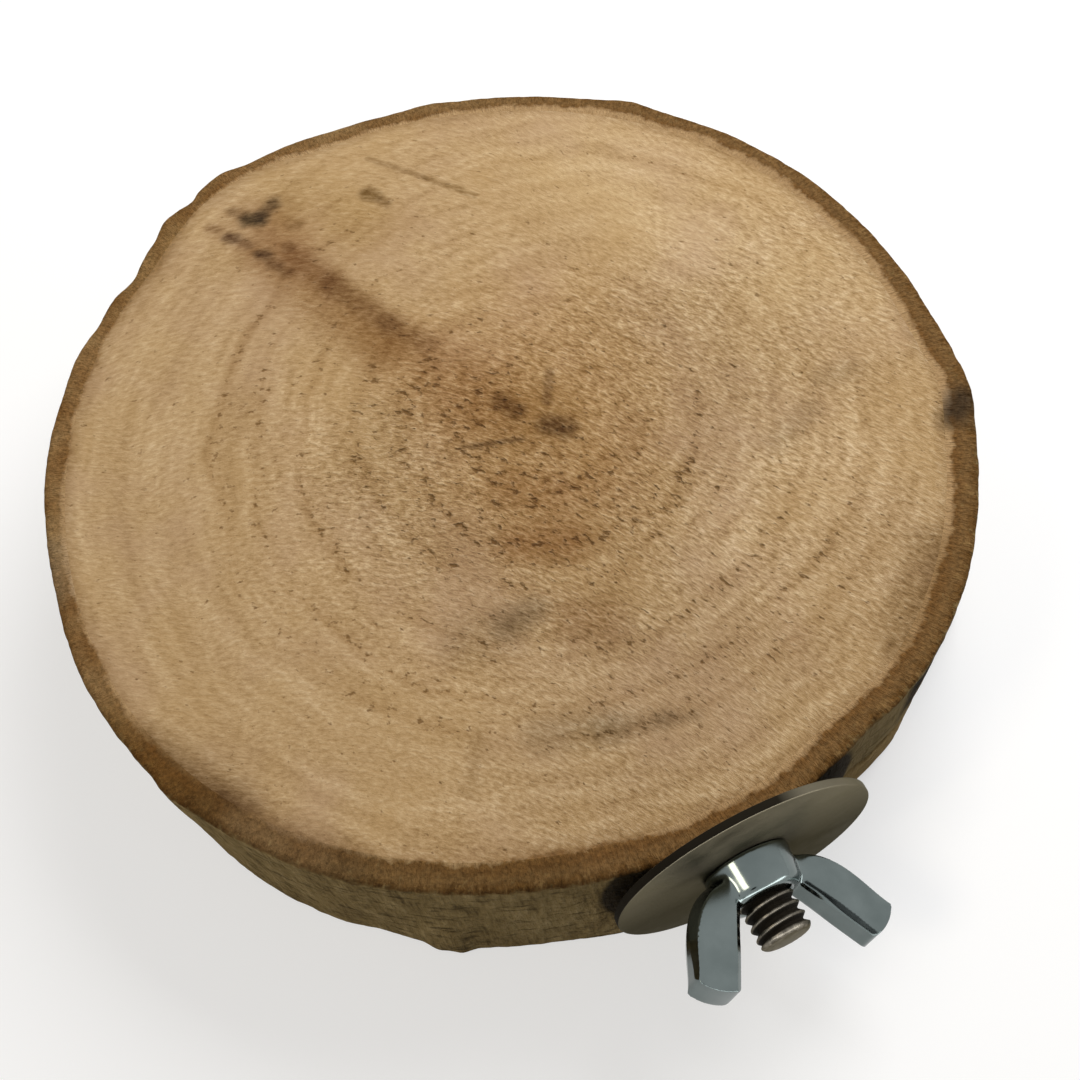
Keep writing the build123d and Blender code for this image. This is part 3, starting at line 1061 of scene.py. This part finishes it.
    # Pores torn into strokes about 0.5 mm by 1 mm, thick in the crowded rings and rare outside.
    pore_place = add(tree, "Mapping", {
        "Vector": sawn, "Scale": (1.5, 0.85, 1.0), "Location": (300.0, 700.0, 0.0)},
        vector_type="TEXTURE")
    tears = add(tree, "TexNoise", {
        "Vector": pore_place, "Scale": 1.0, "Detail": 2.0, "Roughness": 0.6}, noise_dimensions="2D")
    brink = add(tree, "Math", {0: crowding, 1: 0.2, 2: 0.285}, operation="MULTIPLY_ADD")
    floor = add(tree, "Math", {0: brink, 1: 0.15}, operation="SUBTRACT")
    pore = add(tree, "MapRange", {"Value": tears, "From Min": brink, "From Max": floor})
    pore_shade = add(tree, "Math", {0: pore, 1: 0.8}, operation="MULTIPLY")
    base = add(tree, "Mix", {0: pore_shade, 6: base, 7: colour("#64451f")}, data_type="RGBA", out=2)

    # Stains lie on the top alone, and the torn fibres take them unevenly.
    hold = add(tree, "MapRange", {
        "Value": fibres, "From Min": 0.25, "From Max": 0.75, "To Min": 1.25, "To Max": 0.75})
    hold = add(tree, "Math", {0: hold, 1: upward}, operation="MULTIPLY")
    base = paint_stains(tree, stains + edge_stains, ground_shade, torn_place, hold, base)

    # Bark reaches into the wood in ragged teeth, and the wood next to it is stained.
    beyond = ragged_border(tree, in_mm)
    stained = add(tree, "MapRange", {"Value": beyond, "From Min": -2.2, "From Max": 0.0, "To Max": 0.5})
    stain_tint = tint("#7d5c33", ground_shade)
    base = add(tree, "Mix", {
        0: stained, 6: base, 7: stain_tint}, data_type="RGBA", blend_type="MULTIPLY", out=2)
    inner_band = add(tree, "MapRange", {"Value": fibres, "To Min": 0.5, "To Max": 0.9})
    bark_shade = band_colour(tree, in_mm, way_out(tree, flat), inner_band)
    bark_share = add(tree, "MapRange", {
        "Value": beyond, "From Min": -0.3, "From Max": 0.3, "To Max": 0.9})
    base = add(tree, "Mix", {0: bark_share, 6: base, 7: bark_shade}, data_type="RGBA", out=2)
    tree.links.new(base, shader.inputs["Base Color"])

    # Torn fibres and open pores in the light, rougher round the heart and at the near right.
    relief = add(tree, "Math", {0: pore, 1: -0.8, 2: fibres}, operation="MULTIPLY_ADD")
    strength = add(tree, "MapRange", {
        "Value": fuzz, "From Min": 1.2, "From Max": 1.9, "To Min": 0.35, "To Max": 1.0})
    bump = add(tree, "Bump", {"Strength": strength, "Distance": 0.35 * mm, "Height": relief})
    tree.links.new(bump, shader.inputs["Normal"])
    return material


def make_bark_material():
    # Thin bark of a young trunk: matt, olive-tan outside with dark mottles, fine upright cracks and short
    # level creases, and brown where the saw cut through it, darkest at the lip.
    material, tree, shader = new_material("young_trunk_bark", Roughness=0.9, Specular_IOR_Level=0.05)
    in_mm = millimetres(tree)
    flat = add(tree, "VectorMath", {0: in_mm, 1: (1.0, 1.0, 0.0)}, operation="MULTIPLY")
    height = add(tree, "SeparateXYZ", {0: in_mm}, out="Z")
    depth = add(tree, "Attribute", attribute_name="depth", out="Fac")

    # Outer skin: mottles 3 mm across and upright cracks 0.5 mm wide, under a fine speckle.
    upright = add(tree, "Mapping", {"Vector": in_mm, "Scale": (1.0, 1.0, 0.4)})
    mottles = add(tree, "TexNoise", {
        "Vector": upright, "Scale": 1 / 3.0, "Detail": 5.0, "Roughness": 0.6})
    cracks_place = add(tree, "Mapping", {"Vector": in_mm, "Scale": (1.0, 1.0, 0.15)})
    cracks = add(tree, "TexNoise", {
        "Vector": cracks_place, "Scale": 1 / 0.5, "Detail": 3.0, "Roughness": 0.6})
    skin_tone = add(tree, "Mix", {0: 0.45, 2: mottles, 3: cracks})
    skin = add(tree, "ValToRGB", {0: skin_tone}, stops=[
        (0.34, "#5c4c2e"), (0.45, "#87734b"), (0.55, "#9b865b"), (0.68, "#b69f73")])
    creases_place = add(tree, "Mapping", {"Vector": in_mm, "Scale": (0.25, 0.25, 1.0)})
    creases = add(tree, "TexNoise", {
        "Vector": creases_place, "Scale": 1 / 0.9, "Detail": 4.0, "Roughness": 0.65})
    crease = add(tree, "MapRange", {"Value": creases, "From Min": 0.44, "From Max": 0.3, "To Max": 0.75})
    skin = add(tree, "Mix", {0: crease, 6: skin, 7: colour("#3d2f15")}, data_type="RGBA", out=2)
    speckle = add(tree, "TexNoise", {"Vector": in_mm, "Scale": 1 / 0.8, "Detail": 2.0})
    specks = add(tree, "MapRange", {"Value": speckle, "From Min": 0.55, "From Max": 0.75, "To Max": 0.4})
    skin = add(tree, "Mix", {0: specks, 6: skin, 7: colour("#54432a")}, data_type="RGBA", out=2)

    # Right of the washer: an olive sheet of inner bark, a pale skin left below it, and near-black painted
    # shade in the split, on the broken step and in the hollow under the lip.
    broken_shades = [("sheet", "#8a7853", 0.5), ("skin", "#a3885a", 0.7), ("split", "#1a130a", 0.95)]
    for attribute, shade, strength in broken_shades:
        share = add(tree, "Attribute", attribute_name=attribute, out="Fac")
        share = add(tree, "Math", {0: share, 1: strength}, operation="MULTIPLY")
        skin = add(tree, "Mix", {0: share, 6: skin, 7: colour(shade)}, data_type="RGBA", out=2)

    # Painted shade: a near-black ring on the bark just round the washer, the shade of the gap behind it,
    # with some dirt there too.
    axis_place = add(tree, "VectorMath", {0: in_mm, 1: (1.0, 0.0, 1.0)}, operation="MULTIPLY")
    from_stud = add(tree, "VectorMath", {0: axis_place}, operation="LENGTH", out="Value")
    shade_round_washer = add(tree, "MapRange", {
        "Value": from_stud, "From Min": washer_reach + 1.2, "From Max": washer_reach + 0.1,
        "To Max": 0.95}, interpolation_type="SMOOTHSTEP")
    along_stud = add(tree, "SeparateXYZ", {0: in_mm}, out="Y")
    on_front = add(tree, "Math", {0: along_stud, 1: 20.0}, operation="LESS_THAN")
    shade_round_washer = add(tree, "Math", {0: shade_round_washer, 1: on_front}, operation="MULTIPLY")
    skin = add(tree, "Mix", {0: shade_round_washer, 6: skin, 7: colour("#1f180d")}, data_type="RGBA", out=2)

    # Sawn edge of the bark: short fibres across the band, darker outwards.
    outward = way_out(tree, flat)
    round_rim = add(tree, "VectorMath", {0: outward, "Scale": log_radius / 0.4}, operation="SCALE")
    inward = add(tree, "Math", {0: depth, 1: 2.5}, operation="MULTIPLY")
    inward = add(tree, "CombineXYZ", {"Z": inward})
    fibre_place = add(tree, "VectorMath", {0: round_rim, 1: inward}, operation="ADD")
    fibres = add(tree, "TexNoise", {"Vector": fibre_place, "Scale": 1.0, "Detail": 3.0, "Roughness": 0.7})
    clumps = add(tree, "TexNoise", {"Vector": in_mm, "Scale": 1 / 1.6, "Detail": 4.0, "Roughness": 0.65})
    fuzz = add(tree, "Mix", {0: 0.5, 2: fibres, 3: clumps})
    across = add(tree, "Math", {0: fuzz, 1: 1.7, 2: depth}, operation="MULTIPLY_ADD")
    across = add(tree, "Math", {0: across, 1: 0.5, 2: -0.2}, operation="MULTIPLY_ADD")
    band = band_colour(tree, in_mm, outward, across)
    # Pale torn fibres stand in the outer half.
    flecks = add(tree, "MapRange", {"Value": fuzz, "From Min": 0.54, "From Max": 0.68, "To Max": 0.7})
    outer_half = add(tree, "MapRange", {"Value": depth, "From Min": 0.75, "From Max": 0.35})
    flecks = add(tree, "Math", {0: flecks, 1: outer_half}, operation="MULTIPLY")
    band = add(tree, "Mix", {0: flecks, 6: band, 7: colour("#94764a")}, data_type="RGBA", out=2)

    # Where the wood reaches out between the teeth of bark.
    beyond = ragged_border(tree, in_mm)
    wood_share = add(tree, "MapRange", {
        "Value": beyond, "From Min": 0.3, "From Max": -0.3, "To Max": 0.9})
    bare_wood = add(tree, "ValToRGB", {0: fuzz}, stops=[(0.3, "#9a7a52"), (0.7, "#bfa077")])
    bare_wood = paint_stains(tree, edge_stains, ground_shade, flat, 1.0, bare_wood)
    band = add(tree, "Mix", {0: wood_share, 6: band, 7: bare_wood}, data_type="RGBA", out=2)

    # The band lies on the two sawn faces; a ragged line parts it from the skin.
    middle = (top_height + floor_height) / 2 / mm
    from_middle = add(tree, "Math", {0: height, 1: middle}, operation="SUBTRACT")
    from_middle = add(tree, "Math", {0: from_middle}, operation="ABSOLUTE")
    ragged = add(tree, "Math", {0: speckle, 1: 1.4, 2: from_middle}, operation="MULTIPLY_ADD")
    half = slice_thickness / 2 / mm
    on_face = add(tree, "MapRange", {"Value": ragged, "From Min": half - 0.1, "From Max": half + 0.5})
    base = add(tree, "Mix", {0: on_face, 6: skin, 7: band}, data_type="RGBA", out=2)

    # Dirt on the rim.
    base = paint_stains(tree, rim_dirt, rim_shade, flat, on_face, base)
    tree.links.new(base, shader.inputs["Base Color"])

    rough_skin = add(tree, "Math", {0: speckle, 1: 0.5, 2: skin_tone}, operation="MULTIPLY_ADD")
    rough_skin = add(tree, "Math", {0: crease, 1: -0.5, 2: rough_skin}, operation="MULTIPLY_ADD")
    relief = add(tree, "Mix", {0: on_face, 2: rough_skin, 3: fuzz})
    bump = add(tree, "Bump", {"Strength": 1.0, "Distance": 0.8 * mm, "Height": relief})
    tree.links.new(bump, shader.inputs["Normal"])
    return material


def make_zinc_material(name, shades, metallic, roughness, cloud_size, scratch, oil_and_shade_strength=0.0, painted_light_by_height=None,
                       grazing="#ffffff"):
    # Zinc plating on steel: a grey metal whose crystals cloud the shine, with fine rub marks. The grooves
    # of a thread are painted near-black, as oil and painted shade, and so is a cut rim, as painted shade of
    # the gap
    # behind it. Old plating shines less at a slant, and a sheet can be painted paler from one height to
    # another:
    # painted light that lifts the washer's face where the nut shades it.
    material, tree, shader = new_material(
        name, Metallic=metallic, Specular_IOR_Level=0.15, Specular_Tint=colour(grazing))
    in_mm = millimetres(tree)
    clouds = add(tree, "TexNoise", {"Vector": in_mm, "Scale": 1 / cloud_size, "Detail": 4.0})
    base = add(tree, "ValToRGB", {0: clouds}, stops=list(zip((0.3, 0.5, 0.7), shades)))
    rough = add(tree, "MapRange", {
        "Value": clouds, "From Min": 0.3, "From Max": 0.7, "To Min": roughness * 0.75,
        "To Max": roughness * 1.25})
    # Painted light: the sheet turns paler from one height to another.
    if painted_light_by_height:
        shade, low, high = painted_light_by_height
        height = add(tree, "SeparateXYZ", {0: in_mm}, out="Z")
        share = add(tree, "MapRange", {"Value": height, "From Min": low, "From Max": high})
        base = add(tree, "Mix", {0: share, 6: base, 7: colour(shade)}, data_type="RGBA", out=2)
    # Near-black in a thread's grooves, as oil and painted shade, and on a washer's cut rim, as painted
    # shade.
    if oil_and_shade_strength:
        groove = add(tree, "Attribute", attribute_name="groove", out="Fac")
        oil_and_shade = add(tree, "MapRange", {
            "Value": groove, "From Min": 0.05, "From Max": 0.35, "To Max": oil_and_shade_strength})
        base = add(tree, "Mix", {0: oil_and_shade, 6: base, 7: colour("#14100b")}, data_type="RGBA", out=2)
        rough = add(tree, "Math", {0: oil_and_shade, 1: 0.5, 2: rough}, operation="MULTIPLY_ADD")
        bare = add(tree, "MapRange", {"Value": oil_and_shade, "To Min": metallic, "To Max": 0.0})
        tree.links.new(bare, shader.inputs["Metallic"])
    tree.links.new(base, shader.inputs["Base Color"])
    tree.links.new(rough, shader.inputs["Roughness"])
    rubs = add(tree, "TexNoise", {"Vector": in_mm, "Scale": 1 / 0.5, "Detail": 3.0})
    bump = add(tree, "Bump", {"Strength": scratch, "Distance": 0.02 * mm, "Height": rubs})
    tree.links.new(bump, shader.inputs["Normal"])
    return material


def seen_or_mirrored(tree):
    """1 for what the eye sees, straight or in metal and glass, and 0 for the light that it gives."""
    seen = 0.0
    for ray in ("Is Camera Ray", "Is Glossy Ray", "Is Transmission Ray"):
        reached = add(tree, "LightPath", out=ray)
        seen = add(tree, "Math", {0: seen, 1: reached}, operation="MAXIMUM")
    return seen


def make_floor():
    """A plain pale floor that shows white and keeps the shadow."""
    deselect_all()
    bpy.ops.mesh.primitive_plane_add(
        size=floor_size, location=(slice_centre.x, slice_centre.y, floor_height))
    floor = name_piece(bpy.context.object, "studio_floor")
    material, tree, shader = new_material(
        "white_paper_floor", Base_Color=colour("#b4b4b4"), Roughness=1.0, Specular_IOR_Level=0.0,
        Emission_Color=colour("#ffffff"))
    lift = add(tree, "Math", {0: seen_or_mirrored(tree), 1: floor_lift}, operation="MULTIPLY")
    tree.links.new(lift, shader.inputs["Emission Strength"])
    floor.data.materials.append(material)


def make_world():
    """White to the eye and in the metal, and a plain soft light on everything else."""
    world = bpy.data.worlds.new("studio")
    bpy.context.scene.world = world
    world.use_nodes = True
    tree = world.node_tree
    seen = seen_or_mirrored(tree)
    strength = add(tree, "MapRange", {"Value": seen, "To Min": ambient_light, "To Max": 1.0})
    background = tree.nodes["Background"]
    background.inputs["Color"].default_value = colour("#ffffff")
    tree.links.new(strength, background.inputs["Strength"])


def add_lamp(name, place, size, power, shade, mirrored, lighting):
    lamp = bpy.data.lights.new(name, "AREA")
    lamp.shape = "RECTANGLE"
    lamp.size, lamp.size_y = size
    lamp.energy = power
    lamp.color = colour(shade)[:3]
    holder = bpy.data.objects.new(name, lamp)
    holder.location = place
    aim = slice_centre - Vector(place)
    holder.rotation_euler = aim.to_track_quat("-Z", "Y").to_euler()
    holder.visible_glossy = mirrored
    holder.visible_diffuse = lighting
    bpy.context.collection.objects.link(holder)


def add_card():
    """A black card that only metal mirrors, for the dark line along the nut's edges."""
    deselect_all()
    bpy.ops.mesh.primitive_plane_add(size=card_size)
    card = name_piece(bpy.context.object, "black_card")
    card.location = card_place
    card.rotation_euler = (slice_centre - Vector(card_place)).to_track_quat("Z", "Y").to_euler()
    card.data.materials.append(new_material("black_paper", Base_Color=colour("#050505"), Roughness=1.0)[0])
    card.visible_camera = False
    card.visible_diffuse = False
    card.visible_shadow = False


def add_camera():
    elevation = math.radians(view_elevation)
    azimuth = math.radians(view_azimuth)
    level = math.cos(elevation)
    back = Vector((math.sin(azimuth) * level, -math.cos(azimuth) * level, math.sin(elevation)))
    right = Vector((math.cos(azimuth), math.sin(azimuth), 0.0))
    up = back.cross(right)
    roll = math.radians(view_roll)
    tilted_right = right * math.cos(roll) + up * math.sin(roll)
    tilted_up = up * math.cos(roll) - right * math.sin(roll)
    place = (Vector(view_target) + back * view_distance) * mm
    turn = Matrix((tilted_right, tilted_up, back)).transposed().to_4x4()
    lens = bpy.data.cameras.new("photo_camera")
    lens.lens = lens_length
    lens.clip_start = 0.01
    camera = bpy.data.objects.new("photo_camera", lens)
    camera.matrix_world = Matrix.Translation(place) @ turn
    bpy.context.collection.objects.link(camera)
    bpy.context.scene.camera = camera


end_grain = make_end_grain_material()
bark_skin = make_bark_material()
# The thread's grooves are painted near-black, as oil and painted shade.
bolt_zinc = make_zinc_material(
    "dull_zinc_thread", ("#4e4a42", "#68635a", "#857f74"), metallic=1.0, roughness=0.35, cloud_size=0.6,
    scratch=0.3, oil_and_shade_strength=0.95, grazing="#bcb8ac")
# The washer's cut rim is painted near-black as shade, and its face is painted paler upwards as painted
# light.
washer_zinc = make_zinc_material(
    "dull_zinc_sheet", ("#332f26", "#39352b", "#3f3b30"), metallic=0.9, roughness=0.45, cloud_size=5.0,
    scratch=0.3, oil_and_shade_strength=0.95, painted_light_by_height=("#706a5a", -4.0, 9.0), grazing="#b8b4a7")
nut_zinc = make_zinc_material(
    "bright_zinc_forging", ("#636c6b", "#6a7372", "#717a79"), metallic=1.0, roughness=0.15, cloud_size=4.0,
    scratch=0.03)

seat(make_wood_slice(), "perch", "wood_slice", end_grain)
seat(make_bark(), "perch", "bark_ring", bark_skin)
seat(make_hanger_bolt(), "perch", "hanger_bolt", bolt_zinc)
seat(make_washer(), "washer", "fender_washer", washer_zinc)
seat(make_wing_nut(), "nut", "wing_nut", nut_zinc)

make_floor()
make_world()
for lamp in lamps:
    add_lamp(*lamp)
add_card()
add_camera()
bpy.context.scene.view_settings.view_transform = "Standard"
